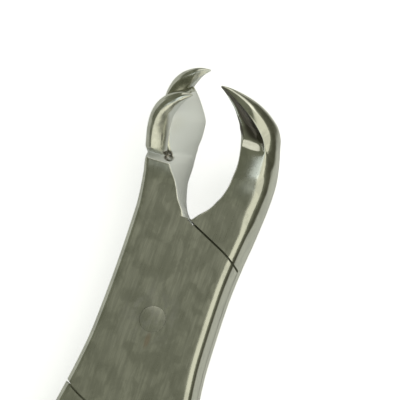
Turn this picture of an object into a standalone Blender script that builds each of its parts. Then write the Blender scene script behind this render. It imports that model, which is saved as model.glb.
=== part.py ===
"""Extraction forceps for an upper molar: two forged halves crossing at a lap joint.

The forceps lies on its back: X across the joint, Y towards the beaks, Z along the
pivot pin, with the origin on the pin's axis in the plane of the rear faces.
Each half is a loft that runs from one handle, through the joint, to the beak on the
other side. It is made flat first, cut for the lap, and then its beak is bent forward.
"""

import math
from dataclasses import astuple, dataclass

import bmesh
import bpy
from mathutils import Vector

MM = 0.001

# Joint
THICKNESS = 9.0 * MM  # rear face to front face, joint and handles
JOINT_LEFT = 8.5 * MM  # pin axis to the left edge at the waist
JOINT_RIGHT = 8.8 * MM  # pin axis to the right edge at the waist
EDGE_RADIUS = 1.3 * MM  # rounding along the joint's and handles' long edges
LAP_GAP = 0.3 * MM  # running clearance between the halves, on every face
SHOULDER_ANGLE = math.radians(25.6)  # shoulders against the X axis
JAW_SHOULDER = 14.5 * MM  # pin axis to the shoulders on the beak side
GRIP_SHOULDER = 15.7 * MM  # pin axis to the shoulders on the handle side
JAW_FLARE = 0.65 * MM  # how far the joint widens towards the beaks, on the right
GRIP_FLARE = 2.1 * MM  # how far it widens towards the handles, on each side

# Pivot pin
PIN_RADIUS = 2.0 * MM
PIN_HEAD_RADIUS = 3.1 * MM  # countersunk end in the rear face
PIN_HEAD_DEPTH = 1.1 * MM
PIN_CLEARANCE = 0.3 * MM  # all round the pin, in both halves
PIN_STEPS = 48

# Beaks
BEND_START = 20.0 * MM  # distance from the pin at which the beaks leave the plane
BEND_RADIUS = 11.0 * MM
BEND_ANGLE = math.radians(45)
BEAK_REACH = 39.8 * MM  # pin axis to the tips, measured along the beak
TIP_GAP = 3.1 * MM  # single tip to the pair of tips, closed
TIP_OFFSET = 1.9 * MM  # the tips close this far to the left of the pin
HORN_SPREAD = 4.0 * MM  # mid-plane to each tip of the two-horned beak
HORN_ROOT_SPREAD = 3.1 * MM  # mid-plane to the middle of each horn's root

# Handles
HANDLE_LENGTH = 139.0 * MM  # pin axis to the handles' ends
HANDLE_WIDTH = 8.6 * MM
HANDLE_BOW = 10.3 * MM  # pin plane to the handles' inner faces at the widest place
HANDLE_EDGE_RADIUS = 1.7 * MM

MID = THICKNESS / 2
HALF = THICKNESS / 2
CUT_OVER = 5 * MM  # how far cutters run past what they cut
LAP_REACH = BEND_START + 10 * MM  # cutters of the lap end here, short of the beaks' tips
SHOULDER_ARC = math.radians(40)  # how far the shoulders' round ends run about the pin
STEPS_PER_SPAN = 4  # rings between two stations
CORNER_STEPS = 3
ARC_STEPS = 10
SEAM = 0.1 * MM  # step in from a crotch, where an arm's section takes over from the joint's


@dataclass
class Station:
    """A cross-section of an arm, square to the direction it runs in at that place."""

    x: float  # middle of the section
    y: float
    turn: float  # heading, in degrees from +Y towards -X
    left: float  # middle to the left side, on the mid-plane
    right: float
    left_corner: float  # middle to the left corners
    right_corner: float
    left_half: float  # half the thickness at the left corners
    right_half: float
    radius: float  # corner rounding
    hollow: float  # how deep the front and rear faces are hollowed


def box_station(x_left, x_right, y, radius=EDGE_RADIUS, half=HALF, crown=0.25 * MM):
    """A rounded rectangle between two edges, with slightly crowned sides."""
    middle = (x_left + x_right) / 2
    reach = (x_right - x_left) / 2
    corner = reach - crown
    return Station(middle, y, 0, reach, reach, corner, corner, half, half, radius, 0)


def slope(a, b, c):
    """Slope at b of a curve through a, b and c that never swings past them."""
    before = b - a
    after = c - b
    if before * after <= 0:
        return 0
    return 2 * before * after / (before + after)


def between(a, b, c, d, t):
    """Cubic from b to c, with slopes taken from their neighbours."""
    m0 = slope(a, b, c)
    m1 = slope(b, c, d)
    t2 = t * t
    t3 = t2 * t
    return (2 * t3 - 3 * t2 + 1) * b + (t3 - 2 * t2 + t) * m0 + (3 * t2 - 2 * t3) * c + (t3 - t2) * m1


def refine(stations, steps=STEPS_PER_SPAN):
    """More stations, along a smooth curve through the ones given."""
    values = [astuple(station) for station in stations]
    values = [values[0], *values, values[-1]]
    fine = []
    for a, b, c, d in zip(values, values[1:], values[2:], values[3:]):
        for step in range(steps):
            fine.append(Station(*(between(*four, step / steps) for four in zip(a, b, c, d))))
    return [*fine, stations[-1]]


def rounded_corner(corner, before, after, radius):
    """Points of an arc-like bend that cuts a corner off, no larger than its sides allow."""
    radius = min(radius, 0.95 * (before - corner).length, 0.95 * (after - corner).length)
    start = corner + (before - corner).normalized() * radius
    end = corner + (after - corner).normalized() * radius
    points = []
    for step in range(CORNER_STEPS + 1):
        t = step / CORNER_STEPS
        # A conic with this weight is a quarter circle on a square corner.
        weights = ((1 - t) ** 2, math.sqrt(2) * t * (1 - t), t * t)
        total = sum(weights)
        points.append((start * weights[0] + corner * weights[1] + end * weights[2]) / total)
    return points


def front_of_ring(station):
    """The front half of a section, from its left side over its front face to its right."""
    left = Vector((-station.left, 0))
    left_corner = Vector((-station.left_corner, station.left_half))
    right_corner = Vector((station.right_corner, station.right_half))
    right = Vector((station.right, 0))
    sink = Vector((0, -station.hollow))
    face = [left_corner.lerp(right_corner, 0.35) + sink, left_corner.lerp(right_corner, 0.65) + sink]
    left_arc = rounded_corner(left_corner, left, face[0], station.radius)
    right_arc = rounded_corner(right_corner, face[1], right, station.radius)
    side_left = left.lerp(left_arc[0], 0.5)
    side_right = right.lerp(right_arc[-1], 0.5)
    return [left, side_left, *left_arc, *face, *right_arc, side_right, right]


def ring(station):
    """All points of a section in space, the rear half mirroring the front half."""
    front = front_of_ring(station)
    rear = [Vector((across, -up)) for across, up in front[-2:0:-1]]
    turn = math.radians(station.turn)
    points = []
    for across, up in [*front, *rear]:
        x = station.x + across * math.cos(turn)
        y = station.y + across * math.sin(turn)
        points.append(Vector((x, y, MID + up)))
    return points


def add_loft(bm, stations):
    """A closed skin over the sections of the stations, flat at both ends."""
    rings = [[bm.verts.new(point) for point in ring(station)] for station in stations]
    count = len(rings[0])
    for low, high in zip(rings, rings[1:]):
        for i in range(count):
            j = (i + 1) % count
            bm.faces.new((low[i], low[j], high[j], high[i]))
    bm.faces.new(rings[0])
    bm.faces.new(rings[-1][::-1])


def object_from(bm, name, collection):
    bmesh.ops.recalc_face_normals(bm, faces=bm.faces)
    mesh = bpy.data.meshes.new(name)
    bm.to_mesh(mesh)
    bm.free()
    obj = bpy.data.objects.new(name, mesh)
    collection.objects.link(obj)
    return obj


def prism(name, outline, low, high, collection):
    """A cutter: a flat outline extruded along Z."""
    bm = bmesh.new()
    face = bm.faces.new([bm.verts.new((x, y, low)) for x, y in outline])
    grown = bmesh.ops.extrude_face_region(bm, geom=[face])
    top = [item for item in grown["geom"] if isinstance(item, bmesh.types.BMVert)]
    bmesh.ops.translate(bm, verts=top, vec=(0, 0, high - low))
    return object_from(bm, name, collection)


def add_boolean(obj, other, operation):
    modifier = obj.modifiers.new(f"{operation.lower()}_{other.name}", "BOOLEAN")
    modifier.object = other
    modifier.operation = operation
    modifier.solver = "EXACT"


def crotch(shoulder):
    """Distance from the pin's axis to the crotch that a pair of shoulders meets in."""
    return shoulder / math.cos(SHOULDER_ANGLE)


def shoulder_outline(distance, side, end, reach):
    """The region beyond a shoulder, on one side (-1 or 1) and towards one end (-1 or 1).

    The edge runs from the crotch on the middle line along the shoulder to the foot of
    its perpendicular, and from there along the circle about the pin, so that the other
    half's corner can turn past it.
    """
    foot = math.radians(90) - SHOULDER_ANGLE
    outline = [(0.0, end * crotch(distance))]
    for step in range(ARC_STEPS + 1):
        angle = foot - step / ARC_STEPS * SHOULDER_ARC
        outline.append((side * distance * math.cos(angle), end * distance * math.sin(angle)))
    outline.append((side * reach, outline[-1][1]))
    outline.append((side * reach, end * reach))
    outline.append((0.0, end * reach))
    return outline


def shoulder_prism(name, side, end, draw_back, reach, layer, collection):
    """That region as a cutter, drawn back from the pin or, if negative, grown towards it.

    layer is 1 or -1 for a cutter as deep as the front or rear layer, or 0 for both.
    """
    shoulder = JAW_SHOULDER if end > 0 else GRIP_SHOULDER
    outline = shoulder_outline(shoulder + draw_back, side, end, reach)
    low = MID - (LAP_GAP if layer > 0 else HALF + 2 * CUT_OVER)
    high = MID + (LAP_GAP if layer < 0 else HALF + 2 * CUT_OVER)
    return prism(name, outline, low, high, collection)


def cut_lap(half, jaw_side, layer, collection):
    """Cuts a blank to one layer at the joint: 1 for the front layer and -1 for the rear.

    jaw_side is the side of the half's own beak. Its handle is on the other side.
    """
    share = LAP_GAP / 2
    for end, side, word in ((1, -jaw_side, "jaw"), (-1, jaw_side, "grip")):
        name = f"{half.name}_clears_{word}"
        cutter = shoulder_prism(name, side, end, -share, LAP_REACH, layer, collection)
        add_boolean(half, cutter, "DIFFERENCE")
    heights = sorted((MID + layer * share, MID - layer * (HALF + CUT_OVER)))
    corners = [(x * LAP_REACH, y * LAP_REACH) for x, y in ((-1, -1), (1, -1), (1, 1), (-1, 1))]
    pocket = prism(f"{half.name}_pocket", corners, *heights, collection)
    for end, side, word in ((1, jaw_side, "jaw"), (-1, -jaw_side, "grip")):
        name = f"{half.name}_keeps_{word}"
        kept = shoulder_prism(name, side, end, share, 2 * LAP_REACH, 0, collection)
        add_boolean(pocket, kept, "DIFFERENCE")
    add_boolean(half, pocket, "DIFFERENCE")


def turned(name, profile, collection):
    """A solid turned about the pin's axis from (radius, height) points."""
    bm = bmesh.new()
    verts = [bm.verts.new((radius, 0, height)) for radius, height in profile]
    for low, high in zip(verts, verts[1:]):
        bm.edges.new((low, high))
    mesh = bpy.data.meshes.new(name)
    bm.to_mesh(mesh)
    bm.free()
    obj = bpy.data.objects.new(name, mesh)
    collection.objects.link(obj)
    screw = obj.modifiers.new("turn", "SCREW")
    screw.steps = PIN_STEPS
    screw.render_steps = PIN_STEPS
    screw.use_merge_vertices = True
    screw.merge_threshold = 0.00001
    screw.use_normal_calculate = True
    return obj


def pin_profile(grow, run_over):
    """The pin's outline, grown by a clearance and run past both faces for a bore."""
    shaft = PIN_RADIUS + grow
    head = PIN_HEAD_RADIUS + grow
    low = -run_over
    high = THICKNESS + run_over
    neck = PIN_HEAD_DEPTH + (PIN_HEAD_RADIUS - PIN_RADIUS)
    return ((0, low), (head, low), (head, PIN_HEAD_DEPTH), (shaft, neck), (shaft, high), (0, high))


def joint_stations():
    """Stations of the whole joint, edge to edge, from its handle end to its beak end."""
    flare = GRIP_FLARE
    low = -crotch(GRIP_SHOULDER)
    high = crotch(JAW_SHOULDER)
    return [
        box_station(-JOINT_LEFT - flare, JOINT_RIGHT + flare, low),
        box_station(-JOINT_LEFT - flare * 0.45, JOINT_RIGHT + flare * 0.45, low * 0.6),
        box_station(-JOINT_LEFT - flare * 0.1, JOINT_RIGHT + flare * 0.1, low * 0.2),
        box_station(-JOINT_LEFT, JOINT_RIGHT, high * 0.4),
        box_station(-JOINT_LEFT - JAW_FLARE * 0.1, JOINT_RIGHT + JAW_FLARE * 0.5, high * 0.8),
        box_station(-JOINT_LEFT - JAW_FLARE * 0.25, JOINT_RIGHT + JAW_FLARE, high),
    ]


def handle_stations(side):
    """Stations of the handle on one side (-1 or 1), from its end up to the joint."""
    joint = (JOINT_LEFT if side < 0 else JOINT_RIGHT) + GRIP_FLARE
    outer = HANDLE_BOW + HANDLE_WIDTH
    end = -HANDLE_LENGTH
    top = -crotch(GRIP_SHOULDER)
    straight = 0.62 * end  # where the handles are furthest apart
    edges = (
        (end, HANDLE_BOW + 1.1 * MM, outer - 4.9 * MM, 0.55),
        (end + 1.0 * MM, HANDLE_BOW - 0.4 * MM, outer - 3.4 * MM, 0.8),
        (end + 4.0 * MM, HANDLE_BOW - 1.6 * MM, outer - 2.4 * MM, 1),
        (end + 12.0 * MM, HANDLE_BOW - 1.9 * MM, outer - 1.9 * MM, 1),
        (0.5 * (end + straight), HANDLE_BOW - 0.8 * MM, outer - 0.7 * MM, 1),
        (straight, HANDLE_BOW, outer, 1),
        (0.6 * straight + 0.4 * top, HANDLE_BOW - 0.8 * MM, outer - 0.9 * MM, 1),
        (0.3 * straight + 0.7 * top, HANDLE_BOW - 3.1 * MM, outer - 3.9 * MM, 1),
        (top - 13.0 * MM, 0.51 * HANDLE_BOW, joint + 2.3 * MM, 1),
        (top - 7.0 * MM, 0.31 * HANDLE_BOW, joint + 1.2 * MM, 1),
        (top - 2.5 * MM, 0.11 * HANDLE_BOW, joint + 0.4 * MM, 1),
        (top - SEAM, LAP_GAP / 2, joint, 1),
    )
    stations = []
    for y, near, far, thick in edges:
        sides = sorted((side * near, side * far))
        radius = HANDLE_EDGE_RADIUS * thick
        stations.append(box_station(*sides, y, radius, HALF * thick))
    return stations


def station(values, from_tip):
    """A Station from plain millimetres, placed by its distance back from the tips."""
    x, turn, *sizes = values
    return Station(x * MM, BEAK_REACH - from_tip * MM, turn, *(size * MM for size in sizes))


def single_beak():
    """Stations of the right beak: a shank, then a claw with a sharp inner edge.

    The outer back is broad and the inner edge narrow, so the section of the claw is a
    wedge with hollow flanks.
    """
    tip_x = (TIP_GAP / 2 - TIP_OFFSET) / MM
    outer = JOINT_RIGHT + JAW_FLARE
    low = crotch(JAW_SHOULDER)
    # from the tips: x, turn, left, right, left corner, right corner, halves, radius, hollow
    claw = {
        14.2: (7.2, 0, 3.00, 3.00, 2.70, 2.70, 4.20, 4.20, 0.9, 0.0),
        10.5: (7.2, 0, 2.85, 2.85, 2.30, 2.45, 3.40, 3.40, 0.8, 0.0),
        7.7: (6.9, 0, 2.90, 2.80, 2.00, 2.40, 2.30, 2.75, 0.6, 0.1),
        6.0: (6.4, 6, 2.90, 2.70, 2.20, 2.20, 0.90, 2.35, 0.4, 0.3),
        4.5: (5.5, 20, 2.45, 2.35, 2.10, 1.95, 0.35, 2.05, 0.3, 0.3),
        3.1: (4.3, 38, 2.00, 1.90, 1.75, 1.50, 0.30, 1.65, 0.25, 0.2),
        2.0: (3.1, 54, 1.50, 1.40, 1.30, 1.05, 0.25, 1.20, 0.2, 0.1),
        1.0: (1.6, 66, 0.95, 0.90, 0.80, 0.60, 0.20, 0.75, 0.15, 0.0),
        0.4: (0.5, 74, 0.50, 0.50, 0.40, 0.30, 0.15, 0.40, 0.1, 0.0),
        0.1: (tip_x, 80, 0.15, 0.15, 0.10, 0.08, 0.08, 0.12, 0.04, 0.0),
    }
    return [
        box_station(LAP_GAP / 2, outer, low + SEAM),
        box_station(2.3 * MM, outer + 0.3 * MM, low + 2.6 * MM, 1.1 * MM),
        box_station(3.6 * MM, outer + 0.5 * MM, low + 5.4 * MM, 1.0 * MM),
        *(station(values, from_tip) for from_tip, values in claw.items()),
    ]


def horned_stem():
    """Stations of the left beak's stem, which carries the horns and ends in a web."""
    outer = -JOINT_LEFT - JAW_FLARE * 0.25
    low = crotch(JAW_SHOULDER)
    stem = {
        15.5: (-6.2, 0, 3.40, 3.55, 3.05, 1.35, 4.50, 4.50, 0.9, 0),
        12.8: (-6.2, 0, 3.50, 3.60, 3.05, 0.55, 4.50, 4.50, 0.8, 0),
        9.8: (-6.0, 0, 3.70, 3.90, 2.90, -0.40, 4.05, 4.05, 0.6, 0),
        7.2: (-5.9, 0, 3.70, 4.00, 2.70, -0.70, 3.80, 3.80, 0.5, 0),
        5.2: (-6.1, 3, 3.30, 3.60, 2.30, -0.50, 3.60, 3.60, 0.4, 0),
        4.0: (-6.6, 6, 2.20, 2.40, 1.50, 0.40, 3.15, 3.15, 0.3, 0),
        3.5: (-6.9, 6, 1.00, 1.10, 0.70, 0.30, 2.70, 2.70, 0.2, 0),
    }
    return [
        box_station(outer, -LAP_GAP / 2, low + SEAM),
        box_station(outer - 0.25 * MM, -2.1 * MM, low + 2.6 * MM, 1.1 * MM),
        station((-6.1, 0, 3.15, 3.30, 2.90, 2.50, 4.50, 4.50, 1.0, 0), 18.3),
        *(station(values, from_tip) for from_tip, values in stem.items()),
    ]


def horn():
    """Stations of one horn on the mid-plane, from inside the stem to its tip."""
    tip_x = (-TIP_GAP / 2 - TIP_OFFSET) / MM
    spine = {
        14.0: (-7.9, 0, 1.00, 1.00, 0.70, 0.70, 0.72, 0.72, 0.4, 0),
        11.5: (-8.1, 0, 1.70, 1.70, 1.15, 1.15, 1.45, 1.45, 0.8, 0),
        8.5: (-8.2, 0, 1.70, 1.65, 1.15, 1.15, 1.45, 1.45, 0.8, 0),
        6.3: (-8.1, -3, 1.60, 1.55, 1.05, 1.05, 1.45, 1.45, 0.8, 0),
        4.5: (-7.75, -14, 1.50, 1.40, 0.95, 0.90, 1.38, 1.38, 0.7, 0),
        3.0: (-7.0, -32, 1.25, 1.20, 0.80, 0.80, 1.15, 1.15, 0.6, 0),
        1.8: (-6.0, -48, 0.95, 0.95, 0.60, 0.60, 0.84, 0.84, 0.4, 0),
        0.9: (-4.7, -60, 0.50, 0.50, 0.30, 0.30, 0.46, 0.46, 0.2, 0),
        0.4: (tip_x, -66, 0.10, 0.10, 0.06, 0.06, 0.12, 0.12, 0.04, 0),
    }
    return [station(values, from_tip) for from_tip, values in spine.items()]


def blank(name, handle_side, beak, collection):
    """A half before its lap is cut: handle, full joint and beak in one skin."""
    handle = refine(handle_stations(handle_side))
    bm = bmesh.new()
    add_loft(bm, [*handle, *refine(joint_stations()), *refine(beak)])
    return object_from(bm, name, collection)


def add_horns(half, collection):
    """Joins the two horns to the stem, one in front of the mid-plane and one behind."""
    stations = refine(horn())
    root = stations[0].y
    for side, where in ((1, "front"), (-1, "rear")):
        bm = bmesh.new()
        add_loft(bm, stations)
        for vert in bm.verts:
            share = (vert.co.y - root) / (BEAK_REACH - root)
            vert.co.z += side * (HORN_ROOT_SPREAD + (HORN_SPREAD - HORN_ROOT_SPREAD) * share)
        add_boolean(half, object_from(bm, f"{half.name}_{where}_horn", collection), "UNION")


def bent(point):
    """Where a point of the flat forceps goes when the beaks are bent forward."""
    along = point.y - BEND_START
    if along <= 0:
        return point
    arc = BEND_RADIUS * BEND_ANGLE
    angle = min(along, arc) / BEND_RADIUS
    rest = max(along - arc, 0)
    up = point.z - MID
    y = BEND_START + (BEND_RADIUS - up) * math.sin(angle) + rest * math.cos(angle)
    z = MID + BEND_RADIUS - (BEND_RADIUS - up) * math.cos(angle) + rest * math.sin(angle)
    return Vector((point.x, y, z))


def apply_modifiers(obj):
    """Replaces the object's mesh with what its modifiers make of it."""
    graph = bpy.context.evaluated_depsgraph_get()
    mesh = bpy.data.meshes.new_from_object(obj.evaluated_get(graph))
    obj.modifiers.clear()
    obj.data = mesh


def finish_half(half):
    """Works out the cuts, then bends the beak forward about an axis along X."""
    apply_modifiers(half)
    bm = bmesh.new()
    bm.from_mesh(half.data)
    bmesh.ops.triangulate(bm, faces=[face for face in bm.faces if len(face.verts) > 4])
    for vert in bm.verts:
        vert.co = bent(vert.co)
    bm.to_mesh(half.data)
    bm.free()
    half.data.shade_smooth()


def steel(name, colour, roughness):
    material = bpy.data.materials.new(name)
    material.use_nodes = True
    shader = material.node_tree.nodes["Principled BSDF"]
    shader.inputs["Base Color"].default_value = (*colour, 1)
    shader.inputs["Metallic"].default_value = 1
    shader.inputs["Roughness"].default_value = roughness
    return material


def new_collection(name, hidden=False):
    collection = bpy.data.collections.new(name)
    bpy.context.scene.collection.children.link(collection)
    collection.hide_render = hidden
    return collection


def make_front_half(parts, cutters):
    """Left beak with two horns, front layer of the joint, right handle."""
    half = blank("front_half", 1, horned_stem(), parts)
    add_horns(half, cutters)
    cut_lap(half, jaw_side=-1, layer=1, collection=cutters)
    add_boolean(half, turned("front_bore", pin_profile(PIN_CLEARANCE, CUT_OVER), cutters), "DIFFERENCE")
    return half


def make_back_half(parts, cutters):
    """Right beak with one point, rear layer of the joint, left handle."""
    half = blank("back_half", -1, single_beak(), parts)
    cut_lap(half, jaw_side=1, layer=-1, collection=cutters)
    add_boolean(half, turned("back_bore", pin_profile(PIN_CLEARANCE, CUT_OVER), cutters), "DIFFERENCE")
    return half


def main():
    for obj in list(bpy.data.objects):
        bpy.data.objects.remove(obj, do_unlink=True)
    parts = new_collection("extraction_forceps")
    cutters = new_collection("cutters", hidden=True)
    front = make_front_half(parts, cutters)
    back = make_back_half(parts, cutters)
    pin = turned("pivot_pin", pin_profile(0, 0), parts)
    for half in (front, back):
        finish_half(half)
    for cutter in cutters.objects:
        cutter.display_type = "WIRE"
        cutter.hide_render = True
    front.data.materials.append(steel("front_half_steel", (0.62, 0.62, 0.58), 0.28))
    back.data.materials.append(steel("back_half_steel", (0.62, 0.62, 0.58), 0.28))
    pin.data.materials.append(steel("pivot_pin_steel", (0.55, 0.55, 0.52), 0.32))


main()
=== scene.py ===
"""Extraction forceps for an upper molar, in ground and polished steel, on a pale studio floor.

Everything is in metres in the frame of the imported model: X across the joint, Y towards
the beaks, Z along the pivot pin, with the origin on the pin's axis in the plane of the
rear faces. Each half is skinned flat over its sections, cut for the lap, and then its
beak is bent forward.
"""

from __future__ import annotations

import logging
import math
from collections.abc import Callable
from dataclasses import astuple, dataclass, fields, replace
from enum import Enum
from functools import reduce

import bmesh
import bpy
from mathutils import Matrix, Vector


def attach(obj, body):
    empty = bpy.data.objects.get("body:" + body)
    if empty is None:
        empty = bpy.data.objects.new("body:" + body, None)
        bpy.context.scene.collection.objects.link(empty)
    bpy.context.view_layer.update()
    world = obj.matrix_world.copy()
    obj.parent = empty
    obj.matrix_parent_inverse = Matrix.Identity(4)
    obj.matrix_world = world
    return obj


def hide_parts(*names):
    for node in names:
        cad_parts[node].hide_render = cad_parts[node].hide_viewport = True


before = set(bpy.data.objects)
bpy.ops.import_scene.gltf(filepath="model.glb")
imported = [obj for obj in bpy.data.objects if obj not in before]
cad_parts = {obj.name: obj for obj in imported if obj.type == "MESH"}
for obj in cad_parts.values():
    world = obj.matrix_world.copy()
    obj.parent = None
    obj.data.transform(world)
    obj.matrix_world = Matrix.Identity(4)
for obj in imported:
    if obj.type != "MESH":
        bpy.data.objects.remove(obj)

logging.basicConfig(level=logging.INFO, format="%(message)s")
LOG = logging.getLogger("forceps")

MM = 0.001

Piece = bpy.types.Object
Material = bpy.types.Material
Socket = bpy.types.NodeSocket


class Side(Enum):
    """A side of the forceps, seen from the front."""

    LEFT = -1
    RIGHT = 1


class Layer(Enum):
    """A layer of the lap joint."""

    REAR = -1
    FRONT = 1


class End(Enum):
    """An end of the joint."""

    GRIP = -1
    JAW = 1


def smooth_step(low: float, high: float, value: float) -> float:
    """A soft threshold.

    Args:
        low: Where the result leaves 0.
        high: Where it reaches 1.
        value: The number to test.

    Returns:
        A number from 0 to 1.
    """
    t = min(max((value - low) / (high - low), 0.0), 1.0)
    return t * t * (3.0 - 2.0 * t)


# Sections and skins


@dataclass(frozen=True)
class Section:
    """A cross-section of an arm, square to the way it runs at that place."""

    x: float
    y: float
    turn: float
    left: float
    right: float
    left_corner: float
    right_corner: float
    left_half: float
    right_half: float
    left_radius: float
    right_radius: float
    hollow: float
    rear_share: float
    left_crown: float
    right_crown: float
    scoop: float = 1.0


@dataclass(frozen=True)
class Outline:
    """How many steps a section's outline takes, and how it is laid out."""

    side_steps: int = 10
    corner_steps: int = 7
    face_steps: int = 26
    hold: float = 0.12 * MM

    @property
    def around(self) -> int:
        """Points in a whole outline."""
        return 2 * (2 * self.side_steps + 2 * self.corner_steps + self.face_steps)

    def corner(self, apex: Vector, before: Vector, after: Vector, radius: float) -> list[Vector]:
        """An arc that rounds one corner off.

        Args:
            apex: The sharp corner.
            before: The outline's point before it.
            after: The outline's point after it.
            radius: The distance from the apex at which the arc starts and ends.

        Returns:
            Points from the arc's start to its end.
        """
        radius = min(radius, 0.95 * (before - apex).length, 0.95 * (after - apex).length)
        start = apex + (before - apex).normalized() * radius
        end = apex + (after - apex).normalized() * radius
        points = []
        for step in range(self.corner_steps + 1):
            t = step / self.corner_steps
            weights = ((1 - t) ** 2, math.sqrt(2) * t * (1 - t), t * t)
            total = sum(weights)
            points.append((start * weights[0] + apex * weights[1] + end * weights[2]) / total)
        return points

    def side(self, edge: Vector, corner: Vector, crown: float) -> list[Vector]:
        """A flank from the mid-plane to where a corner's arc starts.

        Args:
            edge: The flank's point on the mid-plane.
            corner: The first point of the arc.
            crown: 0 for a straight flank that meets in an edge, 1 for a rounded one, more for a
                steep flank that only rolls over near the corner.

        Returns:
            Points from the edge on, without the corner itself.
        """
        points = []
        for step in range(self.side_steps):
            t = 1 - (1 - step / self.side_steps) ** (1 + 0.25 * crown)
            points.append(Vector((edge.x + (corner.x - edge.x) * t ** (1 + crown), corner.y * t)))
        return points

    def face(self, start: Vector, end: Vector, hollow: float, scoop: float) -> list[Vector]:
        """A front face between two corners, hollowed between its edges.

        Args:
            start: Where the left corner's arc ends.
            end: Where the right corner's arc starts.
            hollow: The depth of the hollow.
            scoop: 1 for an even slope between the corners, more for a floor that stays level
                with the left one and then rises steeply to the right one.

        Returns:
            Points between the two, without either of them.
        """
        width = (end - start).length
        hold = min(self.hold / max(width, 1e-9), 0.8 / self.face_steps)
        points = []
        for step in range(1, self.face_steps):
            t = hold + (1 - 2 * hold) * (step - 1) / (self.face_steps - 2)
            across = start.x + (end.x - start.x) * t
            up = start.y + (end.y - start.y) * t**scoop
            points.append(Vector((across, up - 4 * hollow * t * (1 - t))))
        return points

    def half(self, section: Section, rounding: float) -> list[Vector]:
        """Half an outline, from the left edge over a face to the right edge.

        Args:
            section: The section to follow.
            rounding: What its corner radii are multiplied by.

        Returns:
            Points (across, up), both edges included.
        """
        left = Vector((-section.left, 0.0))
        right = Vector((section.right, 0.0))
        left_apex = Vector((-section.left_corner, section.left_half))
        right_apex = Vector((section.right_corner, section.right_half))
        sink = Vector((0.0, -section.hollow))
        inward = (left_apex.lerp(right_apex, 0.35) + sink, left_apex.lerp(right_apex, 0.65) + sink)
        left_arc = self.corner(left_apex, left, inward[0], section.left_radius * rounding)
        right_arc = self.corner(right_apex, inward[1], right, section.right_radius * rounding)
        rise = self.side(left, left_arc[0], section.left_crown)
        fall = self.side(right, right_arc[-1], section.right_crown)[::-1]
        across = self.face(left_arc[-1], right_arc[0], section.hollow, section.scoop)
        return [*rise, *left_arc, *across, *right_arc, *fall]

    def ring(self, section: Section, middle: float) -> list[Vector]:
        """A whole outline in space.

        Args:
            section: The section to follow.
            middle: The height of its mid-plane.

        Returns:
            Points in order round the section.
        """
        front = self.half(section, 1.0)
        rear = self.half(section, section.rear_share)
        flat = [*front, *(Vector((point.x, -point.y)) for point in rear[-2:0:-1])]
        turn = math.radians(section.turn)
        ahead = Vector((math.cos(turn), math.sin(turn)))
        return [
            Vector((section.x + p.x * ahead.x, section.y + p.x * ahead.y, middle + p.y)) for p in flat
        ]


def tangent(before: float, after: float, low: float, high: float) -> float:
    """Slope at a point of a curve that never swings past its points.

    Args:
        before: Slope of the chord before the point.
        after: Slope of the chord after it.
        low: Length of the chord before.
        high: Length of the chord after.

    Returns:
        The curve's slope there.
    """
    if before * after <= 0:
        return 0.0
    return 3 * (low + high) / ((2 * high + low) / before + (high + 2 * low) / after)


def between(sections: list[Section], index: int, t: float) -> Section:
    """A section on the smooth curve through the ones given.

    Args:
        sections: Sections in order along Y.
        index: The section before the wanted place.
        t: The share of the way to the next section.

    Returns:
        The section there.
    """
    near = [sections[max(min(index + step, len(sections) - 1), 0)] for step in (-1, 0, 1, 2)]
    spans = [max(b.y - a.y, 1e-9) for a, b in zip(near, near[1:])]
    span = spans[1]
    t2, t3 = t * t, t * t * t
    values = []
    for a, b, c, d in zip(*(astuple(section) for section in near)):
        chords = [(b - a) / spans[0], (c - b) / span, (d - c) / spans[2]]
        m0 = tangent(chords[0], chords[1], spans[0], span) * span
        m1 = tangent(chords[1], chords[2], span, spans[2]) * span
        near_part = (2 * t3 - 3 * t2 + 1) * b + (t3 - 2 * t2 + t) * m0
        values.append(near_part + (3 * t2 - 2 * t3) * c + (t3 - t2) * m1)
    return Section(*values)


def refine(sections: list[Section], spacing: float) -> list[Section]:
    """More sections, no further apart than a spacing.

    Args:
        sections: Sections in order along Y.
        spacing: The greatest distance between two of the result.

    Returns:
        The finer list, with the sections given in it.
    """
    fine = []
    for index, (a, b) in enumerate(zip(sections, sections[1:])):
        steps = max(2, math.ceil((b.y - a.y) / spacing))
        fine.extend(between(sections, index, step / steps) for step in range(steps))
    return [*fine, sections[-1]]


def new_object(name: str, bm: bmesh.types.BMesh) -> Piece:
    """An object at the origin from a bmesh, which is freed.

    Args:
        name: The object's name.
        bm: Its shape, in metres.

    Returns:
        The object, linked to the scene.
    """
    mesh = bpy.data.meshes.new(name)
    bm.to_mesh(mesh)
    bm.free()
    piece = bpy.data.objects.new(name, mesh)
    bpy.context.scene.collection.objects.link(piece)
    return piece


@dataclass(frozen=True)
class Skin:
    """A closed skin over a row of sections."""

    middle: float
    outline: Outline = Outline()

    def cover(self, name: str, sections: list[Section], lift: float = 0.0, spread: float = 0.0) -> Piece:
        """Wraps a grid round the sections and closes both ends.

        Args:
            name: The object's name.
            sections: The sections, in order along Y.
            lift: How far the first section is moved along Z.
            spread: How much further the last one is moved.

        Returns:
            The skin.
        """
        around, rows = self.outline.around, len(sections) - 1
        first, last = sections[0].y, sections[-1].y
        rings = []
        for section in sections:
            share = (section.y - first) / (last - first)
            rings.append(self.outline.ring(section, self.middle + lift + spread * share))
        bm = bmesh.new()
        bmesh.ops.create_grid(bm, x_segments=around, y_segments=rows, size=0.5)
        for vert in bm.verts:
            column = round((vert.co.x + 0.5) * around) % around
            row = round((vert.co.y + 0.5) * rows)
            vert.co = rings[row][column]
        bmesh.ops.remove_doubles(bm, verts=bm.verts, dist=1e-7)
        rims = [edge for edge in bm.edges if edge.is_boundary]
        bmesh.ops.holes_fill(bm, edges=rims, sides=0)
        bmesh.ops.recalc_face_normals(bm, faces=bm.faces)
        return new_object(name, bm)


# The lap joint


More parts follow.
